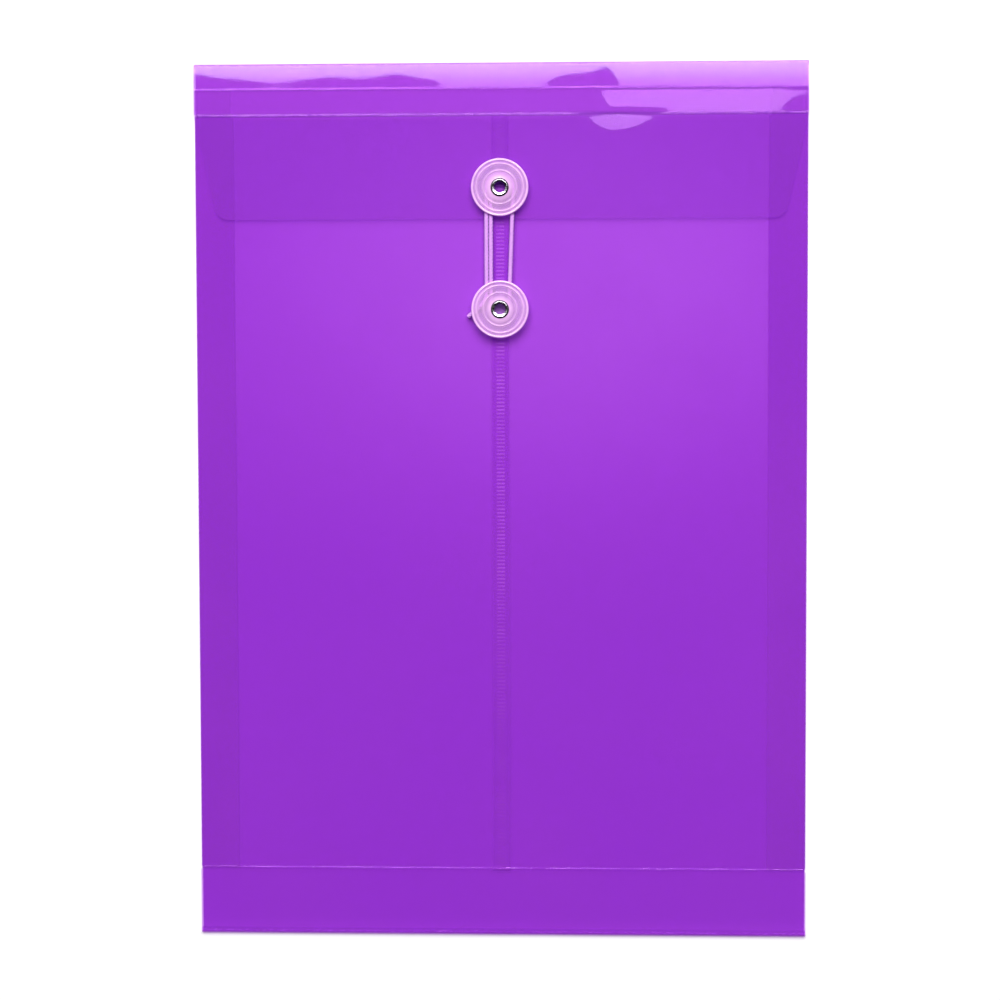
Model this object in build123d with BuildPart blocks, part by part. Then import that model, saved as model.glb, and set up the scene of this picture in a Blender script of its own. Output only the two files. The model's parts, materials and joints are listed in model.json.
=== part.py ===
"""String tie envelope.

A pocket of thin plastic film with gusseted sides, a lapped and welded centre seam and a creased
bottom. The back turns over at the top into a scored flap. Two clear buttons on metal eyelets stand
on the flap and on the pocket, and a string wound round their posts ties the flap down.

The envelope lies on its back: X runs across it, Y towards the top fold and Z out of its front.
"""
import os
from math import asin, cos, degrees, dist, pi, radians, sin

from build123d import *

os.makedirs("parts", exist_ok=True)

# Film and outline of the closed envelope
width = 240.0
height = 344.0
film = 0.25
layer_gap = 0.05  # between films that slide over each other
bead_radius = 0.2  # ridge along a score or crease
bead_gap = 0.05  # between a ridge and the film that turns on it

# Pocket
gusset_depth = 15.4  # from the side fold to the inner fold
mouth_drop = 21.0  # from the top fold to the mouth
crease_rise = 26.5  # from the bottom fold to the bottom crease
lap_width = 6.8
lap_step = 0.8  # run in which the lapped film climbs over the other

# Ladder weld along the lap
weld_width = 3.2
weld_pitch = 1.45
weld_base = 0.05
weld_height = 0.15
weld_bar_share = 0.55  # of the pitch

# Flap, measured from the top fold
flap_length = 60.8
first_score = 10.3
second_score = 20.5
flap_inset = 9.0  # how much narrower each side is at the lower edge
flap_corner = 4.0

# Eyelets
bore = 5.0
eyelet_wall = 0.25
rim_overhang = 0.8
rim_thickness = 0.6
flange_overhang = 1.25
flange_thickness = 0.4
pierce_gap = 0.05  # between an eyelet and the hole in the film

# Buttons
upper_button_rise = 12.1  # above the flap's lower edge
button_spacing = 47.4
button_diameter = 22.5
button_web = 0.8
button_rim_bead = 0.55
button_ring_bead = 0.35
button_ring_shares = (0.58, 0.82)  # of the button's radius
button_fit = 0.05  # round the eyelet
button_play = 0.05  # under the eyelet's rim

# String
string_diameter = 1.3
string_space = 1.9  # from the flap to the buttons
post_gap = 0.05
turn_gap = 0.45
start_angle = -60.0  # where the winding leaves its knot, in degrees round the upper post
knot_diameter = 1.7
tail_bend = 3.5  # above the lower post's centre
tail_reach = 12.8  # left of the lower post's centre
tail_drop = 3.1  # below the lower post's centre
tail_radius = 6.0

# Heights of the layers, from the back up
fold_radius = film
side_axis_z = film + layer_gap + fold_radius
rear_top = side_axis_z + fold_radius
inner_axis_z = rear_top + layer_gap + fold_radius
gusset_top_z = inner_axis_z + fold_radius
front_z = gusset_top_z + layer_gap
lap_z = front_z + film
lap_top = lap_z + film
flap_z = lap_top + weld_height + layer_gap + flange_thickness + layer_gap
flap_top = flap_z + film
string_z = flap_top + string_space / 2
button_z = flap_top + string_space
button_top = button_z + button_web

# Fold lines
top = height / 2
bottom = -height / 2
roll_radius = (flap_top - film - layer_gap) / 2
roll_y = top - roll_radius
roll_z = flap_top - roll_radius
hem_radius = (lap_z - film - layer_gap) / 2
hem_y = bottom + hem_radius
hem_z = lap_z - hem_radius
crease_y = bottom + crease_rise
first_score_y = top - first_score
second_score_y = top - second_score
mouth_y = top - mouth_drop
ridge_clear = bead_radius + bead_gap
pocket_bottom_y = crease_y + ridge_clear
side_x = width / 2 - fold_radius
inner_x = width / 2 - gusset_depth + fold_radius

# Posts
flap_edge_y = top - flap_length
upper_y = flap_edge_y + upper_button_rise
lower_y = upper_y - button_spacing
bore_radius = bore / 2
post_radius = bore_radius + eyelet_wall
pierce_radius = post_radius + pierce_gap


# Back
with BuildPart() as back_panel:
    with BuildSketch():
        with Locations((0, (roll_y + hem_y) / 2)):
            Rectangle(width, roll_y - hem_y)
    extrude(amount=film)
back_panel.part.label = "back_panel"
export_step(back_panel.part, "parts/back_panel.step")

# Half-rounds of the top and bottom folds
rolls = (
    ("flap_roll", (roll_y, roll_z), roll_radius, -90),
    ("bottom_roll", (hem_y, hem_z), hem_radius, 90),
)
for roll_name, roll_axis, radius, start in rolls:
    with BuildPart() as roll:
        with BuildSketch(Plane.YZ):
            with BuildLine():
                outside = CenterArc(roll_axis, radius, start, 180)
                inside = CenterArc(roll_axis, radius - film, start, 180)
                Line(outside @ 0, inside @ 0)
                Line(outside @ 1, inside @ 1)
            make_face()
        extrude(amount=width / 2, both=True)
    roll.part.label = roll_name
    export_step(roll.part, f"parts/{roll_name}.step")

# Flap strips and bottom wall: each ends in the ridge that the next film turns on
strips = (
    ("flap_spine", roll_y, first_score_y, flap_z, flap_top),
    ("flap_strip", first_score_y - ridge_clear, second_score_y, flap_z, flap_z + film / 2),
    ("bottom_wall", hem_y, crease_y, front_z, front_z + film / 2),
)
for strip_name, start_y, ridge_y, strip_z, ridge_z in strips:
    with BuildPart() as strip:
        with BuildSketch(Plane.YZ):
            with Locations(((start_y + ridge_y) / 2, strip_z + film / 2)):
                Rectangle(abs(start_y - ridge_y), film)
            with Locations((ridge_y, ridge_z)):
                Circle(bead_radius)
        extrude(amount=width / 2, both=True)
    strip.part.label = strip_name
    export_step(strip.part, f"parts/{strip_name}.step")

# Flap panel
with BuildPart() as flap_panel:
    with BuildSketch(Plane.XY.offset(flap_z)):
        with BuildLine():
            Polyline(
                (-width / 2, second_score_y - ridge_clear),
                (width / 2, second_score_y - ridge_clear),
                (width / 2 - flap_inset, flap_edge_y),
                (flap_inset - width / 2, flap_edge_y),
                close=True,
            )
        face = make_face()
        fillet(face.vertices().group_by(Axis.Y)[0], flap_corner)
    extrude(amount=film)
    with Locations((0, upper_y, flap_z)):
        Hole(pierce_radius)
flap_panel.part.label = "flap_panel"
export_step(flap_panel.part, "parts/flap_panel.step")

# Gussets: the rear film turns on the side fold, the front film on the inner fold above it
rear_plane = Plane.XZ.offset(-first_score_y)
front_plane = Plane.XZ.offset(-mouth_y)
for side_name, side in (("left", -1), ("right", 1)):
    with BuildPart() as gusset_rear:
        with BuildSketch(rear_plane):
            with Locations((side * side_x, side_axis_z)):
                Circle(fold_radius)
            with Locations((side * (side_x + inner_x - fold_radius) / 2, rear_top - film / 2)):
                Rectangle(side_x - inner_x + fold_radius, film)
        extrude(amount=first_score_y - pocket_bottom_y)
    gusset_rear.part.label = f"{side_name}_gusset_rear"
    export_step(gusset_rear.part, f"parts/{side_name}_gusset_rear.step")

    with BuildPart() as gusset_front:
        with BuildSketch(front_plane):
            with Locations((side * inner_x, inner_axis_z)):
                Circle(fold_radius)
            with Locations((side * (side_x + inner_x) / 2, gusset_top_z - film / 2)):
                Rectangle(side_x - inner_x, film)
        extrude(amount=mouth_y - pocket_bottom_y)
    gusset_front.part.label = f"{side_name}_gusset_front"
    export_step(gusset_front.part, f"parts/{side_name}_gusset_front.step")

# Front halves: the right one climbs over the left one at the centre seam
with BuildPart() as front_left_panel:
    with BuildSketch(Plane.XY.offset(front_z)):
        with Locations(((lap_width - width) / 4 - layer_gap / 2, (mouth_y + pocket_bottom_y) / 2)):
            Rectangle((lap_width + width) / 2 - layer_gap, mouth_y - pocket_bottom_y)
    extrude(amount=film)
    with Locations((0, lower_y, front_z)):
        Hole(pierce_radius)
front_left_panel.part.label = "front_left_panel"
export_step(front_left_panel.part, "parts/front_left_panel.step")

with BuildPart() as front_right_panel:
    with BuildSketch(front_plane):
        with BuildLine():
            Polyline(
                (width / 2, front_z),
                (width / 2, lap_z),
                (lap_width / 2 + lap_step, lap_z),
                (lap_width / 2, lap_top),
                (-lap_width / 2, lap_top),
                (-lap_width / 2, lap_z),
                (lap_width / 2, lap_z),
                (lap_width / 2 + lap_step, front_z),
                close=True,
            )
        make_face()
    extrude(amount=mouth_y - pocket_bottom_y)
    with Locations((0, lower_y, lap_z)):
        Hole(pierce_radius)
front_right_panel.part.label = "front_right_panel"
export_step(front_right_panel.part, "parts/front_right_panel.step")

# Ladder weld: a thin land with raised bars, left out round the lower eyelet
weld_stop = post_radius + flange_overhang
weld_runs = (
    ("lower_seam", pocket_bottom_y, lower_y - weld_stop),
    ("upper_seam", lower_y + weld_stop, mouth_y),
)
weld_bar = weld_pitch * weld_bar_share
for seam_name, run_start, run_end in weld_runs:
    bars = int((run_end - run_start - weld_bar) / weld_pitch) + 1
    margin = (run_end - run_start - (bars - 1) * weld_pitch - weld_bar) / 2
    ladder = [(run_start, lap_top), (run_start, lap_top + weld_base)]
    for bar in range(bars):
        bar_start = run_start + margin + bar * weld_pitch
        ladder += [
            (bar_start, lap_top + weld_base),
            (bar_start, lap_top + weld_height),
            (bar_start + weld_bar, lap_top + weld_height),
            (bar_start + weld_bar, lap_top + weld_base),
        ]
    ladder += [(run_end, lap_top + weld_base), (run_end, lap_top)]
    with BuildPart() as seam:
        with BuildSketch(Plane.YZ):
            with BuildLine():
                Polyline(*ladder, close=True)
            make_face()
        extrude(amount=weld_width / 2, both=True)
    seam.part.label = seam_name
    export_step(seam.part, f"parts/{seam_name}.step")

# Buttons and eyelets, one set on the flap and one on the pocket
posts = (("upper", upper_y, flap_z), ("lower", lower_y, front_z))
for post_name, post_y, held_z in posts:
    post_plane = Plane.XZ.offset(-post_y)
    post_axis = Axis((0, post_y, 0), (0, 0, 1))
    button_radius = button_diameter / 2
    hub_radius = post_radius + button_fit
    web_edge = button_radius - button_rim_bead

    with BuildPart() as button:
        with BuildSketch(post_plane):
            with Locations(((hub_radius + web_edge) / 2, button_z + button_web / 2)):
                Rectangle(web_edge - hub_radius, button_web)
            with Locations((web_edge, button_z + button_rim_bead)):
                Circle(button_rim_bead)
            with Locations(*[(share * button_radius, button_top) for share in button_ring_shares]):
                Circle(button_ring_bead)
        revolve(axis=post_axis)
    button.part.label = f"{post_name}_button"
    export_step(button.part, f"parts/{post_name}_button.step")

    rim_z = button_top + button_play + rim_thickness / 2
    flange_z = held_z - layer_gap - flange_thickness / 2
    with BuildPart() as eyelet:
        with BuildSketch(post_plane):
            with Locations((bore_radius + eyelet_wall / 2, (rim_z + flange_z) / 2)):
                Rectangle(eyelet_wall, rim_z - flange_z)
            with Locations((bore_radius + (eyelet_wall + rim_overhang) / 2, rim_z)):
                SlotOverall(eyelet_wall + rim_overhang, rim_thickness)
            with Locations((bore_radius + (eyelet_wall + flange_overhang) / 2, flange_z)):
                SlotOverall(eyelet_wall + flange_overhang, flange_thickness)
        revolve(axis=post_axis)
    eyelet.part.label = f"{post_name}_eyelet"
    export_step(eyelet.part, f"parts/{post_name}_eyelet.step")

# String: round the upper post, down, under the lower post, up, over the upper post again and down
# to its loose tail under the lower button
inner_turn = post_radius + post_gap + string_diameter / 2
outer_turn = inner_turn + string_diameter + turn_gap
lean = degrees(asin((outer_turn - inner_turn) / button_spacing))
upper_post = (0, upper_y)
lower_post = (0, lower_y)
run_top = (outer_turn * cos(radians(lean)), upper_y - outer_turn * sin(radians(lean)))
lead_x = inner_turn * cos(radians(start_angle)) + string_diameter * sin(radians(start_angle))
lead_y = upper_y + inner_turn * sin(radians(start_angle)) - string_diameter * cos(radians(start_angle))
with BuildPart() as tie_string:
    with BuildLine(Plane.XY.offset(string_z)) as route:
        half_start = CenterArc(upper_post, inner_turn, 0, 180)
        quarter_start = CenterArc(upper_post, inner_turn, start_angle, -start_angle)
        Line((lead_x, lead_y), quarter_start @ 0)
        Line(half_start @ 1, (-inner_turn, lower_y))
        under = CenterArc(lower_post, inner_turn, 180, 180 - lean)
        Line(under @ 1, run_top)
        over = CenterArc(upper_post, outer_turn, -lean, 180 + lean)
        FilletPolyline(
            over @ 1,
            (-outer_turn, lower_y + tail_bend),
            (-tail_reach, lower_y - tail_drop),
            radius=tail_radius,
        )
    with BuildSketch(Plane(origin=(lead_x, lead_y, string_z), z_dir=quarter_start % 0)):
        Circle(string_diameter / 2)
    sweep(path=route.wires()[0])
tie_string.part.label = "tie_string"
export_step(tie_string.part, "parts/tie_string.step")

# Knot at the fixed end, flat where the string leaves it
knot_radius = knot_diameter / 2
knot_face = Plane(origin=(lead_x, lead_y, string_z), z_dir=quarter_start % 0)
knot_depth = (knot_radius**2 - (string_diameter / 2) ** 2) ** 0.5
with BuildPart() as string_knot:
    with Locations(knot_face.offset(-knot_depth)):
        Sphere(knot_radius)
    split(bisect_by=knot_face, keep=Keep.BOTTOM)
string_knot.part.label = "string_knot"
export_step(string_knot.part, "parts/string_knot.step")

# Length, tightest turn, volume and least gap of the string
length = route.wires()[0].length
samples = int(length / string_diameter * 4)
points = [route.wires()[0] @ (step / samples) for step in range(samples + 1)]
spacing = length / samples
apart = int(2 * pi * string_diameter / spacing)
least = min(
    dist(tuple(points[i]), tuple(points[j]))
    for i in range(samples + 1)
    for j in range(i + apart, samples + 1)
)
print("string length", round(length, 2), "tightest radius", round(inner_turn, 2), "tail radius", tail_radius)
print("string volume over section times length", round(
    tie_string.part.volume / (pi * string_diameter**2 / 4 * length), 4))
print("string's least gap to itself", round(least - string_diameter, 3))
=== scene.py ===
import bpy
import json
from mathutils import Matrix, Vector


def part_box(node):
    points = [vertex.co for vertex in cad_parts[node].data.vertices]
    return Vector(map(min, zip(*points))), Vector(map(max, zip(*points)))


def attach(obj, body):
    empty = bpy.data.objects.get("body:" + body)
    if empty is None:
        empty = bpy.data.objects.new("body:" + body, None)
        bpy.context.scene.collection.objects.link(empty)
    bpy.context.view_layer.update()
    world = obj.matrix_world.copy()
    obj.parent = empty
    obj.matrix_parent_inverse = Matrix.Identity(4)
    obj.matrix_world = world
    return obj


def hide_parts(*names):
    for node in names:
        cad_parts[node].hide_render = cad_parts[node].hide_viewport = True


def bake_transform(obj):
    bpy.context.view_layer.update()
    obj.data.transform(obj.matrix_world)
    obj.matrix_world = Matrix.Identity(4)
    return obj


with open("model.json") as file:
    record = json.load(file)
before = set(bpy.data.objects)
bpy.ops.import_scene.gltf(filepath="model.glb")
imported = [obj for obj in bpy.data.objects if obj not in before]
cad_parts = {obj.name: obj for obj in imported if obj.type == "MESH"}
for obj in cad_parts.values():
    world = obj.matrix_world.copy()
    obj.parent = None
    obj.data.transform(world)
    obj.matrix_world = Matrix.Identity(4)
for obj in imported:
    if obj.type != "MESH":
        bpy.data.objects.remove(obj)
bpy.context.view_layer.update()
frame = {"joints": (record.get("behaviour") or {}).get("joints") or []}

# Looks of the string tie envelope: folded films, welded lap, turned buttons, eyelets and wound string.
# Lengths are in metres; X runs across the envelope, Y towards its top fold and Z out of its front.
import json
from functools import partial
from math import atan2, ceil, cos, degrees, exp, pi, radians, sin

import bmesh
import bpy
from mathutils import Euler, Vector, noise

mm = 0.001

# Outline, layers and fold lines, from the frame
fold = {joint["name"]: Vector(joint["pos_m"]) for joint in frame["joints"]}
half_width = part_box("back_panel")[1].x
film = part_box("back_panel")[1].z
top_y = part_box("flap_roll")[1].y
bottom_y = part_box("bottom_roll")[0].y
first_y = fold["flap_first_score"].y
second_y = fold["flap_second_score"].y
crease_y = fold["front_crease"].y
inner_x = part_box("right_gusset_rear")[0].x
gusset_low_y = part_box("left_gusset_rear")[0].y
mouth_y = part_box("front_left_panel")[1].y
flap_edge_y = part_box("flap_panel")[0].y
rear_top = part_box("left_gusset_rear")[1].z
gusset_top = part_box("left_gusset_front")[1].z
front_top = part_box("front_left_panel")[1].z
lap_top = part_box("front_right_panel")[1].z
flap_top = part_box("flap_panel")[1].z
lap_half = -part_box("front_right_panel")[0].x
button_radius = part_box("upper_button")[1].x
button_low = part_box("upper_button")[0].z
upper_post = fold["upper_button_turn"]
lower_post = fold["lower_button_turn"]

# Folds and scores
joint_reach = 0.8 * mm  # from a score to the end of the film that turns on it
lip = 0.9 * mm  # of a fold that lies on the back
score_height = 0.2 * mm
crease_height = 0.145 * mm
ridge_width = 0.42 * mm
ridge_wave = 9 * mm  # length of the unevenness along a score or crease
layer_gap = 0.05 * mm
pierce_radius = 2.8 * mm
merge_distance = 0.001 * mm
sharp_angle = radians(40)

# Grid lines of the films: steps between them, or how many parts they make
least_line = 0.06 * mm
ridge_reach = 0.8 * mm
ridge_lines = 8
arc_lines = 8
hole_reach = 4 * mm
hole_step = 0.5 * mm
edge_step = 0.4 * mm  # at the flap's lower edge, the front's inner edges and across the weld
flap_step = 1.6 * mm
spine_lines = 14
strip_step = 0.8 * mm
flap_panel_step = 1.4 * mm
back_step = 8 * mm
bottom_step = 2.4 * mm
bottom_wall_lines = 36
front_step = 2.5 * mm
front_lines = 48
side_lines = 6  # round the side edges of the front and the folds of the gussets
gusset_step = 10 * mm
gusset_lines = 5
bar_lines = 8

# Flap: its two strips climb from the top fold. A crest gives, across the envelope, how far along a strip
# its slope falls below climb, from the strip's upper end (0) to its lower one (1).
climb = 0.05
bend = 0.022  # half of the change of slope over a strip
spine_crest = (
    (-120 * mm, 0.42), (-106 * mm, 0.66), (-88 * mm, 0.86), (-66 * mm, 0.6), (-54 * mm, 0.68),
    (-41 * mm, 0.5), (-27 * mm, 0.74), (-18 * mm, 1.15), (16 * mm, 1.12), (18.5 * mm, 0.85),
    (23 * mm, 0.62), (34 * mm, 0.48), (42.5 * mm, 0.2), (48 * mm, 1.2), (120 * mm, 1.2),
)
strip_crest = (
    (-120 * mm, -0.25), (-10 * mm, -0.2), (0 * mm, 0.15), (12 * mm, -0.2), (34.5 * mm, -0.3),
    (45.5 * mm, 1.2), (108 * mm, 1.2), (114 * mm, 0.6), (120 * mm, 0.4),
)
dent_depth = 0.75 * mm  # at the second score, where the flap is pressed in
dent_run = 10 * mm  # below the score
dent_edge = 2.1 * mm  # above it
dent_shape = ((27 * mm, 0), (35 * mm, 0.51), (44 * mm, 1.12), (61 * mm, 0.5), (65 * mm, 0))
dent_onset = 0.4  # share of the dent at which its score is pressed flat
dent_score = 0.2  # share of the score's height that is left there
flap_inset = 9 * mm
flap_corner = 4 * mm
flap_wave = 0.18 * mm
wave_length = 70 * mm
flap_settle = 15 * mm  # run below the second score in which the panel starts to wave
flap_post_reach = 12 * mm  # round the upper post, where the panel is even

# Pocket
back_wave = 0.04 * mm
back_end = 1.6 * mm  # from the top of the envelope down to the end of its back
hem_bulge = 0.75 * mm  # rise of the wall beside the bottom fold
hem_run = 6 * mm
hem_wave = 60 * mm
hem_radius = (front_top - gusset_top + film) / 2  # of the rolled side edges of the front
front_wave = 0.1 * mm
side_settle = 25 * mm  # runs in which the front starts to wave, from its sides and from the crease
crease_settle = 30 * mm
front_post_reach = 14 * mm  # round the lower post, where the front is even
lap_step = 0.8 * mm
lap_run = 9 * mm  # with finer grid lines, at the inner edge of each front half
gusset_turn = rear_top / 2  # outer radius of the side folds
gusset_end = inner_x + 1.2 * mm  # where the flat of a rear gusset meets its inner fold

# Weld
weld_half = 1.6 * mm
weld_pitch = 1.45 * mm
weld_height = 0.15 * mm
weld_base = 0.05 * mm
weld_edge = 0.4 * mm  # in which a bar runs out at its ends
weld_wave = 5 * mm
weld_faint_y = -110 * mm  # where the bars are faintest
weld_strong_y = 20 * mm

# Buttons and eyelets
button_web = 0.8 * mm
rim_bead = 0.55 * mm
ring_bead = 0.35 * mm
ring_places = (0.82, 0.58)  # shares of the button's radius
hub_radius = pierce_radius
hub_land = 1.2 * mm
hub_rise = 0.04 * mm
eyelet_bore = 2.5 * mm
eyelet_wall = 0.25 * mm
rim_overhang = 0.8 * mm
rim_thickness = 0.6 * mm
crest_radius = 0.25 * mm  # of the rounded top of the rim
crest_reach = 0.4 * mm  # from the bore to the top of the rim
throat_reach = 0.3 * mm  # from the bore in to the narrowest place of the rolled mouth
throat_drop = 0.2 * mm
flank_drop = 0.42 * mm
flange_thickness = 0.4 * mm
foot_radius = 0.35 * mm  # of the bore's rounded lower end
turn_steps = 96

# String
string_radius = 0.88 * mm
string_z = 3.75 * mm
inner_turn = 3.55 * mm
outer_turn = 5.3 * mm
turn_step = 24  # most degrees between two control points of a turn
yarn_step = 0.4 * mm
yarn_sides = 18
plies = 3
ply_turn = 4.2 * mm  # length of one full twist
ply_groove = 0.14  # depth of the grooves between the plies, as a share of the radius
knot_middle = Vector((0.05 * mm, upper_post.y - 3.95 * mm, string_z))
knot_size = 0.26 * mm
knot_yarn_radius = 0.36 * mm
knot_steps = 72

# Colours of the films
film_colour = (0.56, 0.093, 0.88, 1)
film_tint = (0.92, 0.8, 0.97, 1)  # of the light that goes through
film_shine = (1, 0.6, 1, 1)
fold_shine = (1, 0.95, 1, 1)  # at the top fold
score_shine = (0.52, 0.31, 0.52, 1)  # at the first score
beyond_glow_colour = (0.39, 0.047, 0.757, 1)  # painted glow on the back: its colour away from the glow, towards its foot and sides
# painted glow: tint of the light through the back away from the glow
beyond_glow_tint = (0.8, 0.49, 0.925, 1)
painted_glow_middle = (25 * mm, 95 * mm, 0)  # middle of the painted glow on the back
# painted glow: how far it reaches across and along the back
painted_glow_reach = (240 * mm, 150 * mm, 1)
haze_wave = 0.015
noise_span = (0.3, 0.7)  # in which most of a noise lies


def eased(points, place):
    """Value at place on a smooth line through points of (place, value)."""
    if place <= points[0][0]:
        return points[0][1]
    for (left, low), (right, high) in zip(points, points[1:]):
        if place <= right:
            share = (place - left) / (right - left)
            return low + (high - low) * share * share * (3 - 2 * share)
    return points[-1][1]


def wave(x, y, length, seed):
    """Soft unevenness from 0 to 1."""
    return 0.5 + 0.5 * noise.noise(Vector((x / length, y / length, seed)))


def ridge(x, distance, height, seed):
    """Height of the ridge that a score or crease leaves, a little uneven along its length."""
    strength = 0.9 + 0.2 * wave(x, 0, ridge_wave, seed)
    return height * strength * exp(-((distance / ridge_width) ** 2))


def half_round(radius, share):
    """How far a fold reaches out and up from its centre, from its lower end (0) to its upper one (1)."""
    angle = pi * (share - 0.5)
    return radius * cos(angle), radius * sin(angle)


def shares(count):
    """Even shares from 0 to 1."""
    return [line / count for line in range(count + 1)]


def spaced(found):
    """Lines in order, without those that nearly meet the one before."""
    kept = []
    for line in sorted(found):
        if not kept or line - kept[-1] > least_line:
            kept.append(line)
    return kept


def lines(start, end, step, *ridges):
    """Grid lines from start to end, closer together over each ridge."""
    count = max(1, round(abs(end - start) / step))
    found = {start + (end - start) * line / count for line in range(count + 1)}
    for line_y in ridges:
        found |= {line_y + ridge_reach * line / ridge_lines for line in range(-ridge_lines, ridge_lines + 1)}
    low, high = min(start, end), max(start, end)
    return spaced(line for line in found if low - least_line / 2 < line < high + least_line / 2)


def hole_lines(middle):
    """Fine grid lines on both sides of a hole's middle."""
    return lines(middle - hole_reach, middle + hole_reach, hole_step)


def fold_lines(round_count, flat_count):
    """Grid lines over a lip (from -1), round a fold (0 to 1) and along the flat beyond it (to 2)."""
    return [-1] + shares(round_count) + [1 + share for share in shares(flat_count)[1:]]


def finished(name, shape, material):
    """Mesh object of a shape, smooth but for its sharp edges."""
    mesh = bpy.data.meshes.new(name)
    shape.to_mesh(mesh)
    shape.free()
    mesh.shade_smooth()
    mesh.set_sharp_from_angle(angle=sharp_angle)
    mesh.materials.append(material)
    piece = bpy.data.objects.new(name, mesh)
    bpy.context.scene.collection.objects.link(piece)
    return piece


def film_sheet(name, across, along, place, material, posts=(), thickness=film):
    """Film laid on a grid of lines; place gives its outer face, and its thickness goes inwards."""
    sheet = bmesh.new()
    columns, rows = len(across) - 1, len(along) - 1
    bmesh.ops.create_grid(sheet, x_segments=columns, y_segments=rows, size=0.5)
    for corner in sheet.verts:
        column, row = round((corner.co.x + 0.5) * columns), round((corner.co.y + 0.5) * rows)
        corner.co = place(across[column], along[row])
    for post in posts:
        pierce(sheet, post)
    sheet.normal_update()
    if sum(face.normal.z * face.calc_area() for face in sheet.faces) < 0:
        bmesh.ops.reverse_faces(sheet, faces=sheet.faces[:])
    bmesh.ops.solidify(sheet, geom=sheet.faces[:], thickness=thickness)
    bmesh.ops.recalc_face_normals(sheet, faces=sheet.faces[:])
    return finished(name, sheet, material)


def pierce(sheet, post):
    """Round hole in a film for an eyelet."""
    middles = [(face, face.calc_center_median().xy) for face in sheet.faces]
    inside = [face for face, middle in middles if (middle - post.xy).length < pierce_radius]
    rim = {corner for face in inside for corner in face.verts}
    bmesh.ops.delete(sheet, geom=inside, context="FACES")
    for corner in rim:
        if corner.is_valid:
            way = (corner.co.xy - post.xy).normalized() * pierce_radius
            corner.co.x, corner.co.y = post.x + way.x, post.y + way.y


# Nodes that the materials share
def mixed(nodes, links, kind, *values):
    """Maths node with its inputs set or linked."""
    node = nodes.new("ShaderNodeMath")
    node.operation = kind
    for socket, value in zip(node.inputs, values):
        if isinstance(value, (int, float)):
            socket.default_value = value
        else:
            links.new(value, socket)
    return node.outputs[0]


def ranged(nodes, links, value, given, wanted):
    """Value eased from its given range to the wanted one."""
    node = nodes.new("ShaderNodeMapRange")
    node.interpolation_type = "SMOOTHSTEP"
    links.new(value, node.inputs["Value"])
    for socket, number in zip(("From Min", "From Max", "To Min", "To Max"), (*given, *wanted)):
        node.inputs[socket].default_value = number
    return node.outputs[0]


def speckle(nodes, links, place, scale, detail):
    """Noise from 0 to 1."""
    node = nodes.new("ShaderNodeTexNoise")
    links.new(place, node.inputs["Vector"])
    node.inputs["Scale"].default_value = scale
    node.inputs["Detail"].default_value = detail
    return node.outputs["Fac"]


def distance_from(nodes, links, place, middle, reach):
    """Distance from a middle, as a share of the reach along each axis."""
    centred = nodes.new("ShaderNodeMapping")
    centred.vector_type = "TEXTURE"
    centred.inputs["Location"].default_value = middle
    centred.inputs["Scale"].default_value = reach
    links.new(place, centred.inputs["Vector"])
    flat = nodes.new("ShaderNodeVectorMath")
    flat.operation = "MULTIPLY"
    links.new(centred.outputs[0], flat.inputs[0])
    flat.inputs[1].default_value = (1, 1, 0)
    length = nodes.new("ShaderNodeVectorMath")
    length.operation = "LENGTH"
    links.new(flat.outputs[0], length.inputs[0])
    return length.outputs["Value"]


def height_along(nodes, links, place):
    """Y of a place on the envelope."""
    parts = nodes.new("ShaderNodeSeparateXYZ")
    links.new(place, parts.inputs[0])
    return parts.outputs["Y"]


def shaded(nodes, links, share, low, high, socket):
    """Colour from low to high by a share, given to a socket."""
    ramp = nodes.new("ShaderNodeValToRGB")
    ramp.color_ramp.elements[0].color = low
    ramp.color_ramp.elements[1].color = high
    links.new(share, ramp.inputs["Fac"])
    links.new(ramp.outputs["Color"], socket)


def blank_material(name):
    """Material with an output only, and its Object coordinates."""
    material = bpy.data.materials.new(name)
    material.use_nodes = True
    nodes, links = material.node_tree.nodes, material.node_tree.links
    nodes.clear()
    output = nodes.new("ShaderNodeOutputMaterial")
    place = nodes.new("ShaderNodeTexCoord").outputs["Object"]
    return material, nodes, links, output, place


def bumped(nodes, links, height, strength, distance):
    """Normal of a surface with fine height on it."""
    node = nodes.new("ShaderNodeBump")
    node.inputs["Strength"].default_value = strength
    node.inputs["Distance"].default_value = distance
    links.new(height, node.inputs["Height"])
    return node.outputs["Normal"]


def see_through(nodes, links, output, clear, solid, share):
    """Clear and solid shaders mixed; share is how much of the surface is solid."""
    node = nodes.new("ShaderNodeMixShader")
    links.new(share, node.inputs["Fac"])
    links.new(clear.outputs[0], node.inputs[1])
    links.new(solid.outputs[0], node.inputs[2])
    links.new(node.outputs[0], output.inputs["Surface"])


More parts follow.
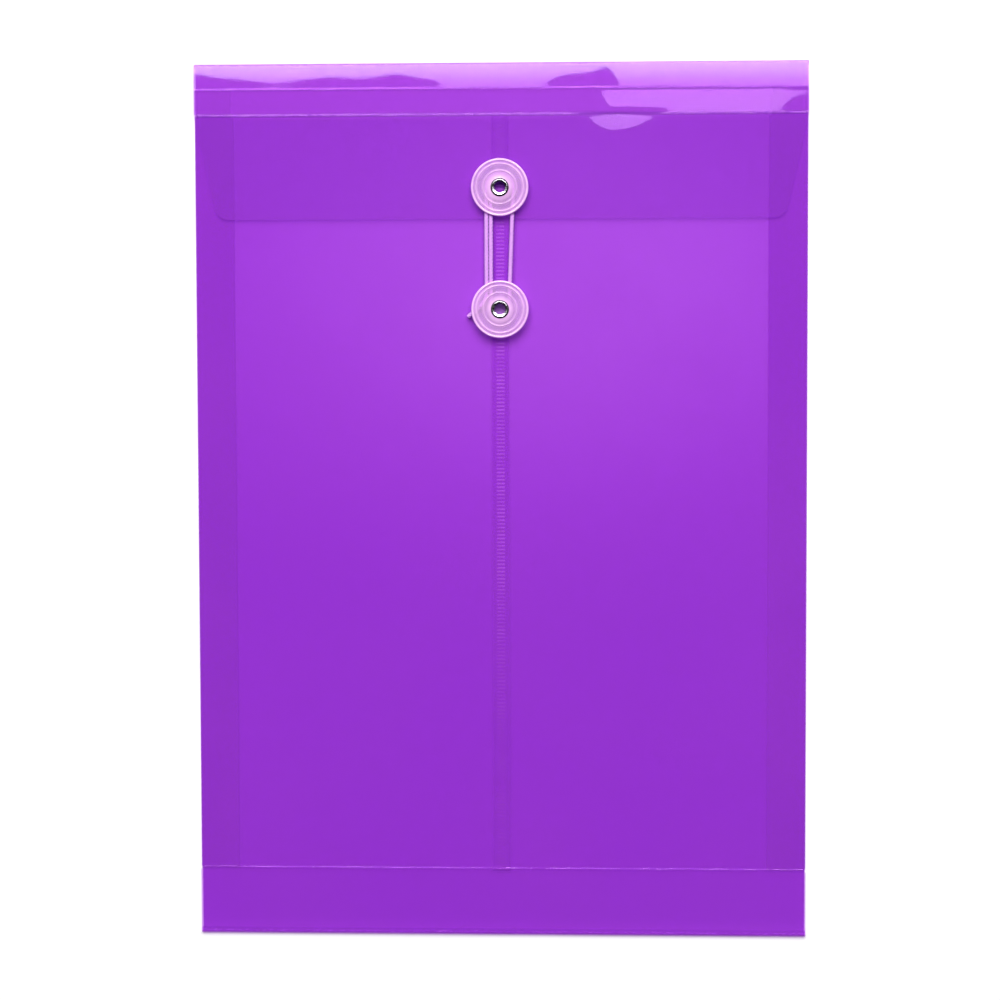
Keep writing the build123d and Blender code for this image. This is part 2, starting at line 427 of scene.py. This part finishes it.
# Materials
def violet_film(name, haze, gloss=1.9, tint=film_tint, folded=False, painted_glow=False):
    """Glossy translucent film, uneven in its haze.

    A folded film shines whiter towards the top fold. One with a painted glow is paler at the glow's middle
    and deeper in colour and tint away from it.
    """
    material, nodes, links, output, place = blank_material(name)
    clear = nodes.new("ShaderNodeBsdfTransparent")
    clear.inputs["Color"].default_value = tint
    solid = nodes.new("ShaderNodeBsdfPrincipled")
    solid.inputs["Base Color"].default_value = film_colour
    solid.inputs["IOR"].default_value = gloss
    solid.inputs["Specular Tint"].default_value = film_shine
    cloud = speckle(nodes, links, place, scale=14, detail=3)
    grain = speckle(nodes, links, place, scale=900, detail=2)
    if folded:
        upward = ranged(nodes, links, height_along(nodes, links, place), (first_y, top_y), (0, 1))
        shaded(nodes, links, upward, score_shine, fold_shine, solid.inputs["Specular Tint"])
    # Painted glow: the back's base colour and tint are paler at the glow's middle and deeper away from it
    if painted_glow:
        away = distance_from(nodes, links, place, painted_glow_middle, painted_glow_reach)
        beyond_glow = ranged(nodes, links, away, (0.1, 1), (0, 1))
        shaded(nodes, links, beyond_glow, film_colour, beyond_glow_colour, solid.inputs["Base Color"])
        shaded(nodes, links, beyond_glow, tint, beyond_glow_tint, clear.inputs["Color"])
    links.new(ranged(nodes, links, grain, noise_span, (0.03, 0.07)), solid.inputs["Roughness"])
    links.new(bumped(nodes, links, grain, strength=0.06, distance=0.02 * mm), solid.inputs["Normal"])
    amount = ranged(nodes, links, cloud, noise_span, (haze - haze_wave, haze + haze_wave))
    see_through(nodes, links, output, clear, solid, amount)
    return material


def weld_film(name, low, pitch):
    """Film of the weld, satin and paler on each pressed bar, fainter towards the bottom crease."""
    material, nodes, links, output, place = blank_material(name)
    clear = nodes.new("ShaderNodeBsdfTransparent")
    clear.inputs["Color"].default_value = (1, 0.98, 1, 1)
    solid = nodes.new("ShaderNodeBsdfPrincipled")
    solid.inputs["Base Color"].default_value = (0.72, 0.15, 1, 1)
    solid.inputs["Roughness"].default_value = 0.5
    height = height_along(nodes, links, place)
    along = mixed(nodes, links, "SUBTRACT", height, low)
    bars = mixed(nodes, links, "COSINE", mixed(nodes, links, "MULTIPLY", along, 2 * pi / pitch))
    pressed = ranged(nodes, links, bars, (-0.6, 0.6), (1, 0.05))
    cloud = speckle(nodes, links, place, scale=130, detail=2)
    uneven = ranged(nodes, links, cloud, (0.35, 0.65), (0.06, 0.14))
    fading = ranged(nodes, links, height, (weld_faint_y, weld_strong_y), (0.3, 1))
    amount = mixed(nodes, links, "MULTIPLY", mixed(nodes, links, "MULTIPLY", pressed, uneven), fading)
    see_through(nodes, links, output, clear, solid, amount)
    return material


def clear_plastic(name, post):
    """Clear moulded plastic, whiter where its beads and hub are thick."""
    material, nodes, links, output, place = blank_material(name)
    clear = nodes.new("ShaderNodeBsdfTransparent")
    clear.inputs["Color"].default_value = (0.99, 0.95, 1, 1)
    solid = nodes.new("ShaderNodeBsdfPrincipled")
    solid.inputs["Base Color"].default_value = (0.97, 0.58, 1, 1)
    solid.inputs["IOR"].default_value = 1.8
    solid.inputs["Roughness"].default_value = 0.12
    whiteness = (  # by share of the radius
        (0.25, 0.8), (0.4, 0.54), (0.5, 0.29), (0.58, 0.52), (0.65, 0.26),
        (0.75, 0.28), (0.82, 0.65), (0.88, 0.29), (0.91, 0.35), (0.94, 0.8),
    )
    thick = nodes.new("ShaderNodeValToRGB")
    ramp = thick.color_ramp.elements
    while len(ramp) < len(whiteness):
        ramp.new(0.5)
    for element, (position, level) in zip(ramp, whiteness):
        element.position = position
        element.color = (level, level, level, 1)
    away = distance_from(nodes, links, place, (post.x, post.y, 0), (button_radius, button_radius, 1))
    links.new(away, thick.inputs["Fac"])
    cloud = speckle(nodes, links, place, scale=160, detail=3)
    uneven = ranged(nodes, links, cloud, noise_span, (0.85, 1.1))
    amount = mixed(nodes, links, "MULTIPLY", thick.outputs["Color"], uneven)
    links.new(bumped(nodes, links, cloud, strength=0.1, distance=0.05 * mm), solid.inputs["Normal"])
    see_through(nodes, links, output, clear, solid, amount)
    return material


def plated_metal():
    """Bright plate with fine turning marks."""
    material, nodes, links, output, place = blank_material("nickel_plate")
    solid = nodes.new("ShaderNodeBsdfPrincipled")
    solid.inputs["Base Color"].default_value = (0.78, 0.75, 0.82, 1)
    solid.inputs["Metallic"].default_value = 1
    mark = speckle(nodes, links, place, scale=1400, detail=3)
    links.new(ranged(nodes, links, mark, noise_span, (0.1, 0.28)), solid.inputs["Roughness"])
    links.new(bumped(nodes, links, mark, strength=0.08, distance=0.02 * mm), solid.inputs["Normal"])
    links.new(solid.outputs[0], output.inputs["Surface"])
    return material


def lilac_cotton():
    """Soft twisted yarn, with painted shade between its fibres: darker where its fibre bump is low."""
    material, nodes, links, output, place = blank_material("lilac_cotton")
    solid = nodes.new("ShaderNodeBsdfPrincipled")
    fibre = speckle(nodes, links, place, scale=2600, detail=4)
    tint = nodes.new("ShaderNodeValToRGB")
    # painted shade: the colour between fibres is darker where the fibre bump is low
    between, upon = tint.color_ramp.elements
    between.position, upon.position = 0.3, 0.65
    between.color = (0.56, 0.22, 0.75, 1)
    upon.color = (0.77, 0.38, 0.92, 1)
    links.new(fibre, tint.inputs["Fac"])
    links.new(tint.outputs["Color"], solid.inputs["Base Color"])
    solid.inputs["Roughness"].default_value = 0.85
    solid.inputs["Sheen Weight"].default_value = 0.3
    links.new(bumped(nodes, links, fibre, strength=0.5, distance=0.1 * mm), solid.inputs["Normal"])
    links.new(solid.outputs[0], output.inputs["Surface"])
    return material


# Flap
def strip_rise(length, crest):
    """Rise of a strip from its upper end to its lower one."""
    return length * (climb - bend * (1 - 2 * crest))


def flap_height(x, y):
    """Outer face of the flap: it climbs from the top fold over two scored strips to its flat panel."""
    pressed = eased(dent_shape, x)
    if y < second_y:
        run = min(1, (second_y - y) / dent_run)
        settle = min(1, (second_y - y) / flap_settle)
        settle *= 1 - exp(-(((Vector((x, y)) - upper_post.xy).length / flap_post_reach) ** 2))
        level = flap_top + flap_wave * (wave(x, y, wave_length, seed=3) - 0.5) * settle
    else:
        run = min(1, (y - second_y) / dent_edge)
        length = first_y - second_y
        rise = strip_rise(length, eased(strip_crest, x))
        if y < first_y:
            share = (first_y - y) / length
            level = flap_top - rise * (1 - share) + bend * length * share * (1 - share)
        else:
            length = top_y - first_y
            share = (top_y - y) / length
            level = flap_top - rise - strip_rise(length, eased(spine_crest, x)) * (1 - share)
            level += bend * length * share * (1 - share)
    second_height = score_height * (1 - (1 - dent_score) * min(1, pressed / dent_onset))
    level += ridge(x, y - first_y, score_height, seed=11) + ridge(x, y - second_y, second_height, seed=12)
    return level - dent_depth * pressed * (1 - run) ** 2


def top_fold_radius(x):
    return flap_height(x, top_y - flap_height(x, top_y) / 2) / 2


def top_fold_place(x, line):
    """From the back (below 0), round the fold (0 to 1) and down the flap to its first score (above 1)."""
    radius = top_fold_radius(x)
    if line < 0:
        return Vector((x, top_y - radius + line * lip, 0))
    if line <= 1:
        out, up = half_round(radius, line)
        return Vector((x, top_y - radius + out, radius + up))
    y = top_y - radius + (line - 1) * (first_y + joint_reach - top_y + radius)
    return Vector((x, y, flap_height(x, y)))


def strip_place(x, y):
    return Vector((x, y, flap_height(x, y)))


def flap_panel_place(x, y):
    """The panel narrows downwards and has rounded lower corners."""
    down = max(0, (second_y - y) / (second_y - flap_edge_y))
    half = half_width - flap_inset * down
    rise = min(flap_corner, max(0, y - flap_edge_y))
    half -= flap_corner - (flap_corner**2 - (flap_corner - rise) ** 2) ** 0.5
    share = x / half_width
    return Vector((share * half, y, flap_height(share * half, y)))


def make_flap(violet, strip_violet, fold_violet):
    across = lines(-half_width, half_width, flap_step)
    along = fold_lines(arc_lines, spine_lines)
    top_fold = film_sheet("top_fold_film", across, along, top_fold_place, fold_violet)
    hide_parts("flap_roll", "flap_spine")
    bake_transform(top_fold)

    along = lines(second_y + joint_reach, first_y + joint_reach, strip_step, first_y)
    strip = film_sheet("score_strip_film", across, along, strip_place, strip_violet)
    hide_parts("flap_strip")
    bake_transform(strip)

    across = spaced(across + hole_lines(upper_post.x))
    along = spaced(
        lines(flap_edge_y, second_y + joint_reach, flap_panel_step, second_y)
        + hole_lines(upper_post.y)
        + lines(flap_edge_y, flap_edge_y + flap_corner, edge_step)
    )
    panel = film_sheet("flap_panel_film", across, along, flap_panel_place, violet, [upper_post])
    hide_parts("flap_panel")
    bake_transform(panel)


# Pocket
def back_place(x, y):
    return Vector((x, y, film + back_wave * wave(x, y, wave_length, seed=5)))


def make_back(violet):
    edge = half_width - rear_top / 2
    low = bottom_y + bottom_fold_height(0) / 2 - lip
    across = lines(-edge, edge, back_step)
    along = lines(low, top_y - back_end, back_step)
    back = film_sheet("back_film", across, along, back_place, violet)
    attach(back, "back")
    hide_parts("back_panel")


def bottom_fold_height(x):
    """Height of the bottom fold, which stands a little proud of the wall."""
    return front_top + hem_bulge * (0.7 + 0.5 * wave(x, 0, hem_wave, seed=8))


def bottom_place(x, line):
    """From the back (below 0), round the bottom fold (0 to 1) and up the wall to the crease (above 1)."""
    radius = bottom_fold_height(x) / 2
    if line < 0:
        return Vector((x, bottom_y + radius - line * lip, 0))
    if line <= 1:
        out, up = half_round(radius, line)
        return Vector((x, bottom_y + radius - out, radius + up))
    rise = (line - 1) * (crease_y - joint_reach - bottom_y - radius)
    away = max(0, 1 - rise / hem_run)
    return Vector((x, bottom_y + radius + rise, front_top + (2 * radius - front_top) * away * away))


def make_bottom(violet):
    across = lines(-half_width, half_width, bottom_step)
    along = fold_lines(arc_lines, bottom_wall_lines)
    bottom = film_sheet("bottom_film", across, along, bottom_place, violet)
    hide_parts("bottom_roll", "bottom_wall")
    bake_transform(bottom)


def front_height(x, y):
    """Outer face of the front: even at its edges, softly waved between them, with a ridge at the crease."""
    settle = min(1, (half_width - abs(x)) / side_settle) * min(1, max(0, y - crease_y) / crease_settle)
    settle *= 1 - exp(-(((Vector((x, y)) - lower_post.xy).length / front_post_reach) ** 2))
    level = front_top + front_wave * wave(x, y, wave_length, seed=2) * settle
    return level + ridge(x, y - crease_y, crease_height, seed=13)


def front_place(side, line, y):
    """Half of the front: its side edge, rolled down to the gusset (0 to 1), and its flat (above 1).

    At the lap the right half (side 1) lies on the left one (side -1).
    """
    if line <= 1:
        out, up = half_round(hem_radius, line)
        x = side * (half_width - film - hem_radius + out)
        return Vector((x, y, front_height(x, y) - hem_radius + up))
    start = side * (half_width - film - hem_radius)
    end = -lap_half if side > 0 else lap_half - layer_gap
    x = start + (line - 1) * (end - start)
    rise = eased(((lap_half, lap_top - front_top), (lap_half + lap_step, 0)), x) if side > 0 else 0
    return Vector((x, y, front_height(x, y) + rise))


def make_front(violet):
    along = spaced(lines(crease_y - joint_reach, mouth_y, front_step, crease_y) + hole_lines(lower_post.y))
    span = half_width + lap_half
    fine = [1 + line / span for line in lines(span - lap_run, span, edge_step)]
    coarse = [1 + share for share in shares(front_lines) if share < 1 - lap_run / span]
    across = shares(side_lines)[:-1] + coarse + fine
    for side_name, side in (("left", -1), ("right", 1)):
        place = partial(front_place, side)
        half = film_sheet(f"front_{side_name}_film", across, along, place, violet, [lower_post])
        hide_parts(f"front_{side_name}_panel")
        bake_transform(half)


def gusset_rear_place(side, line, y):
    """Rear gusset: its lip on the back (below 0), its side fold (0 to 1) and its flat (above 1)."""
    centre = half_width - gusset_turn
    if line < 0:
        return Vector((side * (centre + line * lip), y, 0))
    if line <= 1:
        out, up = half_round(gusset_turn, line)
        return Vector((side * (centre + out), y, gusset_turn + up))
    return Vector((side * (centre + (line - 1) * (gusset_end - centre)), y, rear_top))


def gusset_front_place(side, line, y):
    """Front gusset: its lip in the rear one (below 0), its inner fold (0 to 1) and its flat (above 1)."""
    low = rear_top - film
    radius = (gusset_top - low) / 2
    centre = inner_x + radius
    if line < 0:
        return Vector((side * (centre + line * (centre - gusset_end)), y, low))
    if line <= 1:
        out, up = half_round(radius, line)
        return Vector((side * (centre - out), y, low + radius + up))
    return Vector((side * (centre + (line - 1) * (half_width - film - centre)), y, gusset_top))


def make_gussets(violet):
    across = fold_lines(side_lines, gusset_lines)
    rear_along = lines(gusset_low_y, first_y, gusset_step)
    front_along = lines(gusset_low_y, mouth_y, gusset_step)
    for side_name, side in (("left", -1), ("right", 1)):
        place = partial(gusset_rear_place, side)
        rear = film_sheet(f"{side_name}_gusset_rear_film", across, rear_along, place, violet)
        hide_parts(f"{side_name}_gusset_rear")
        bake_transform(rear)
        place = partial(gusset_front_place, side)
        front = film_sheet(f"{side_name}_gusset_front_film", across, front_along, place, violet)
        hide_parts(f"{side_name}_gusset_front")
        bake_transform(front)


def weld_place(low, pitch, x, y):
    """Outer face of a ladder of bars that starts at low."""
    press = 0.5 - 0.5 * cos(2 * pi * (y - low) / pitch)
    strength = 0.6 + 0.6 * wave(0, y, weld_wave, seed=21)
    edge = min(1, (weld_half - abs(x)) / weld_edge)
    height = weld_base + (weld_height - weld_base) * press * press * strength * edge
    return Vector((x, y, front_height(x, y) + lap_top - front_top + height))


def make_weld():
    """Ladder of pressed bars along the lap, above and below the lower eyelet."""
    across = lines(-weld_half, weld_half, edge_step)
    for seam in ("lower_seam", "upper_seam"):
        low, high = (corner.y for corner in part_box(seam))
        pitch = (high - low) / round((high - low) / weld_pitch)
        along = lines(low, high, pitch / bar_lines)
        satin = weld_film(f"{seam}_film", low, pitch)
        place = partial(weld_place, low, pitch)
        ladder = film_sheet(f"{seam}_ladder", across, along, place, satin, thickness=weld_base)
        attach(ladder, "front")
        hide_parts(seam)


# Buttons and eyelets
def arc(centre, radius, start, end, steps):
    """Points of an arc from start to end in degrees."""
    angles = [radians(start + (end - start) * step / steps) for step in range(steps + 1)]
    return [(centre[0] + radius * cos(angle), centre[1] + radius * sin(angle)) for angle in angles]


def turned(name, profile, post, material):
    """Shape turned about a post from its closed profile of (radius, height)."""
    shape = bmesh.new()
    corners = [shape.verts.new((radius, 0, height)) for radius, height in profile]
    edges = [shape.edges.new(pair) for pair in zip(corners, corners[1:] + corners[:1])]
    bmesh.ops.spin(shape, geom=corners + edges, axis=(0, 0, 1), cent=(0, 0, 0),
                   angle=2 * pi, steps=turn_steps, use_merge=True)
    bmesh.ops.remove_doubles(shape, verts=shape.verts[:], dist=merge_distance)
    bmesh.ops.recalc_face_normals(shape, faces=shape.faces[:])
    bmesh.ops.translate(shape, verts=shape.verts[:], vec=(post.x, post.y, 0))
    return finished(name, shape, material)


def make_buttons():
    """Discs with a beaded rim, two rings and a raised land round the hole."""
    web_top = button_low + button_web
    edge = button_radius - rim_bead
    profile = [(hub_radius, button_low), (edge - rim_bead, button_low)]
    profile += arc((edge, button_low + rim_bead), rim_bead, -90, 155, steps=14)
    for share in ring_places:
        profile += arc((share * button_radius, web_top), ring_bead, 0, 180, steps=10)
    profile += [(hub_radius + hub_land, web_top), (hub_radius + hub_land * 0.8, web_top + hub_rise)]
    profile += [(hub_radius, web_top + hub_rise)]
    for name, post in (("upper", upper_post), ("lower", lower_post)):
        plastic = clear_plastic(f"{name}_clear_plastic", post)
        button = turned(f"{name}_button_disc", profile, post, plastic)
        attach(button, f"{name}_button")
        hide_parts(f"{name}_button")


def make_eyelets(metal):
    """Tube with a funnel mouth, a sloping rim over the button and a flange under the film."""
    post_radius = eyelet_bore + eyelet_wall
    rim_radius = post_radius + rim_overhang
    flange_edge = flange_thickness / 2
    for name, post, body in (("upper", upper_post, "flap"), ("lower", lower_post, "front")):
        low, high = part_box(f"{name}_eyelet")
        rim_low = high.z - rim_thickness
        profile = [(eyelet_bore, rim_low - rim_thickness)]
        profile += [(eyelet_bore - throat_reach, high.z - throat_drop)]
        profile += arc((eyelet_bore + crest_reach, high.z - crest_radius), crest_radius, 107, 54, steps=6)
        profile += [(rim_radius, high.z - flank_drop), (rim_radius, rim_low), (post_radius, rim_low)]
        profile += [(post_radius, low.z + flange_thickness)]
        flange_middle = (high.x - post.x - flange_edge, low.z + flange_edge)
        profile += arc(flange_middle, flange_edge, 90, -90, steps=8)
        profile += arc((eyelet_bore + foot_radius, low.z + foot_radius), foot_radius, 270, 180, steps=6)
        eyelet = turned(f"{name}_eyelet_rivet", profile, post, metal)
        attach(eyelet, body)
        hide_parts(f"{name}_eyelet")


# String
def winding(post, radius, start, end):
    """Control points of a turn round a post, from start to end in degrees."""
    count = ceil(abs(end - start) / turn_step)
    step = radians(end - start) / count
    reach = radius / cos(step / 2)
    angles = [radians(start) + step * (line + 0.5) for line in range(count)]
    return [(post.x + reach * cos(angle), post.y + reach * sin(angle), string_z) for angle in angles]


def string_route():
    """From the knot round the upper post, under the lower, over the upper again and down to a loose tail."""
    lean = degrees(atan2(outer_turn - inner_turn, upper_post.y - lower_post.y))
    straight = 7.8 * mm  # from a post to the run's own points
    upper, lower = upper_post.y, lower_post.y
    route = [(0.599 * mm, upper - 3.638 * mm, string_z), (1.16 * mm, upper - 3.31 * mm, string_z)]
    route += winding(upper_post, inner_turn, -60, 180)
    route += [(-inner_turn, upper - straight, string_z), (-inner_turn, lower + straight, string_z)]
    route += winding(lower_post, inner_turn, 180, 360 - lean)
    route += [(3.73 * mm, lower + straight, string_z), (4.92 * mm, upper - straight, string_z)]
    route += winding(upper_post, outer_turn, -lean, 180)
    route += [(-outer_turn, upper - straight, string_z), (-outer_turn, lower + 14 * mm, string_z)]
    route += [
        (-5.2 * mm, lower + 7.6 * mm, 3.75 * mm), (-5.5 * mm, lower + 3.9 * mm, 3.72 * mm),
        (-7.3 * mm, lower + 1.5 * mm, 3.6 * mm), (-9.4 * mm, lower - 0.2 * mm, 3.3 * mm),
        (-11.2 * mm, lower - 1.7 * mm, 3.0 * mm), (-12.8 * mm, lower - 3.1 * mm, 2.75 * mm),
    ]
    return route


def curve_mesh(holder):
    """Mesh of a curve object, which is removed."""
    bpy.context.scene.collection.objects.link(holder)
    bpy.context.view_layer.update()
    mesh = bpy.data.meshes.new_from_object(holder.evaluated_get(bpy.context.evaluated_depsgraph_get()))
    bpy.data.objects.remove(holder)
    return mesh


def smooth_line(name, route):
    """Points along the smooth curve of a route's control points."""
    curve = bpy.data.curves.new(name, "CURVE")
    curve.dimensions = "3D"
    curve.resolution_u = 40
    spline = curve.splines.new("NURBS")
    spline.points.add(len(route) - 1)
    for point, place in zip(spline.points, route):
        point.co = (*place, 1)
    spline.order_u = 3
    spline.use_endpoint_u = True
    mesh = curve_mesh(bpy.data.objects.new(name, curve))
    points = [mesh.vertices[0].co.copy()]
    for corner in mesh.vertices:
        if (corner.co - points[-1]).length > yarn_step:
            points.append(corner.co.copy())
    bpy.data.meshes.remove(mesh)
    bpy.data.curves.remove(curve)
    return points


def ply_section(name, radius):
    """Closed outline of a yarn with a groove between every two plies."""
    lobes = bpy.data.curves.new(name, "CURVE")
    lobes.dimensions = "2D"
    section = lobes.splines.new("POLY")
    section.points.add(yarn_sides - 1)
    for side, point in enumerate(section.points):
        angle = 2 * pi * side / yarn_sides
        reach = radius * (1 - ply_groove * (0.5 + 0.5 * cos(plies * angle)))
        point.co = (reach * cos(angle), reach * sin(angle), 0, 1)
    section.use_cyclic_u = True
    holder = bpy.data.objects.new(name, lobes)
    bpy.context.scene.collection.objects.link(holder)
    return holder


def yarn(name, points, radius, twist_length, material, closed=False):
    """Twisted yarn along points, as a mesh with closed ends."""
    section = ply_section(name + "_section", radius)
    curve = bpy.data.curves.new(name, "CURVE")
    curve.dimensions = "3D"
    curve.twist_mode = "MINIMUM"
    curve.bevel_mode = "OBJECT"
    curve.bevel_object = section
    curve.use_fill_caps = not closed
    spline = curve.splines.new("POLY")
    spline.points.add(len(points) - 1)
    spline.use_cyclic_u = closed
    run = 0
    last = points[0]
    for point, place in zip(spline.points, points):
        run += (place - last).length
        last = place
        point.co = (*place, 1)
        point.tilt = 2 * pi * run / twist_length
    mesh = curve_mesh(bpy.data.objects.new(name + "_line", curve))
    bpy.data.objects.remove(section)
    shape = bmesh.new()
    shape.from_mesh(mesh)
    bpy.data.meshes.remove(mesh)
    bmesh.ops.remove_doubles(shape, verts=shape.verts[:], dist=merge_distance)
    bmesh.ops.recalc_face_normals(shape, faces=shape.faces[:])
    return finished(name, shape, material)


def knot_loop():
    """Closed line of an overhand knot."""
    loop = []
    for step in range(knot_steps):
        turn = 2 * pi * step / knot_steps
        x = sin(turn) + 2 * sin(2 * turn)
        y = cos(turn) - 2 * cos(2 * turn)
        z = -1.6 * sin(3 * turn)
        loop.append(knot_middle + knot_size * Vector((x, y, z)))
    return loop


def make_string(cotton):
    route = string_route()
    line = smooth_line("string_route", route)
    string = yarn("tie_string_yarn", line, string_radius, ply_turn, cotton)
    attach(string, "flap")
    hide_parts("tie_string")
    knot = yarn("string_knot_yarn", knot_loop(), knot_yarn_radius, ply_turn / 2, cotton, closed=True)
    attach(knot, "flap")
    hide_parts("string_knot")


# Floor, light and camera
def make_floor():
    shape = bmesh.new()
    bmesh.ops.create_grid(shape, x_segments=1, y_segments=1, size=12)
    bmesh.ops.translate(shape, verts=shape.verts[:], vec=(0, 0, -0.02 * mm))
    material, nodes, links, output, place = blank_material("pale_floor")
    solid = nodes.new("ShaderNodeBsdfPrincipled")
    solid.inputs["Base Color"].default_value = (0.92, 0.92, 0.93, 1)
    solid.inputs["Roughness"].default_value = 0.9
    links.new(solid.outputs[0], output.inputs["Surface"])
    mesh = bpy.data.meshes.new("floor")
    shape.to_mesh(mesh)
    shape.free()
    mesh.materials.append(material)
    floor = bpy.data.objects.new("floor", mesh)
    bpy.context.scene.collection.objects.link(floor)


def make_light():
    """A wide softbox beyond the top of the envelope, and a dome that is pale near the horizon."""
    tilt = radians(31.3)
    distance = 3
    aim_y = 0.16
    lamp = bpy.data.lights.new("softbox", "AREA")
    lamp.shape = "RECTANGLE"
    lamp.size = 2.4
    lamp.size_y = 2.06
    lamp.energy = 165
    softbox = bpy.data.objects.new("softbox", lamp)
    softbox.location = (0, aim_y + distance * sin(tilt), distance * cos(tilt))
    softbox.rotation_euler = (-tilt, 0, 0)
    softbox.visible_camera = False
    bpy.context.scene.collection.objects.link(softbox)

    world = bpy.data.worlds.new("dome")
    world.use_nodes = True
    nodes, links = world.node_tree.nodes, world.node_tree.links
    way = nodes.new("ShaderNodeTexCoord").outputs["Generated"]
    parts = nodes.new("ShaderNodeSeparateXYZ")
    links.new(way, parts.inputs[0])
    upward = ranged(nodes, links, parts.outputs["Z"], (0.4, 0.85), (1.3, 0.15))
    ahead = ranged(nodes, links, parts.outputs["Y"], (-0.5, 0.3), (0.06, 1))
    links.new(mixed(nodes, links, "MULTIPLY", upward, ahead), nodes["Background"].inputs["Strength"])
    bpy.context.scene.world = world


def make_camera():
    """A long lens, nearly straight above the envelope."""
    turn = Euler((-0.0589, 0.04469, -0.00269))
    target = Vector((-0.42 * mm, 0.96 * mm, 0))
    distance = 1
    lens = bpy.data.cameras.new("camera")
    lens.lens = 91.316
    lens.sensor_width = 36
    camera = bpy.data.objects.new("camera", lens)
    camera.rotation_euler = turn
    camera.location = target + turn.to_matrix() @ Vector((0, 0, distance))
    bpy.context.scene.collection.objects.link(camera)
    bpy.context.scene.camera = camera


make_camera()
make_string(lilac_cotton())
violet = violet_film("violet_film", haze=0.2)
flap_violet = violet_film("flap_violet_film", haze=0.12, tint=(0.94, 0.9, 0.97, 1))
strip_violet = violet_film("strip_violet_film", haze=0.3, gloss=1.55, tint=(0.89, 0.78, 0.95, 1))
fold_violet = violet_film("top_fold_violet_film", haze=0.3, gloss=1.85, folded=True)
# The back film carries the painted glow
back_violet = violet_film("back_violet_film", haze=0.2, painted_glow=True)
make_flap(flap_violet, strip_violet, fold_violet)
make_back(back_violet)
make_front(violet)
make_bottom(violet)
make_gussets(violet)
make_weld()
make_buttons()
make_eyelets(plated_metal())
make_floor()
make_light()
bpy.context.scene.view_settings.view_transform = "Standard"
bpy.context.scene.cycles.transparent_max_bounces = 48
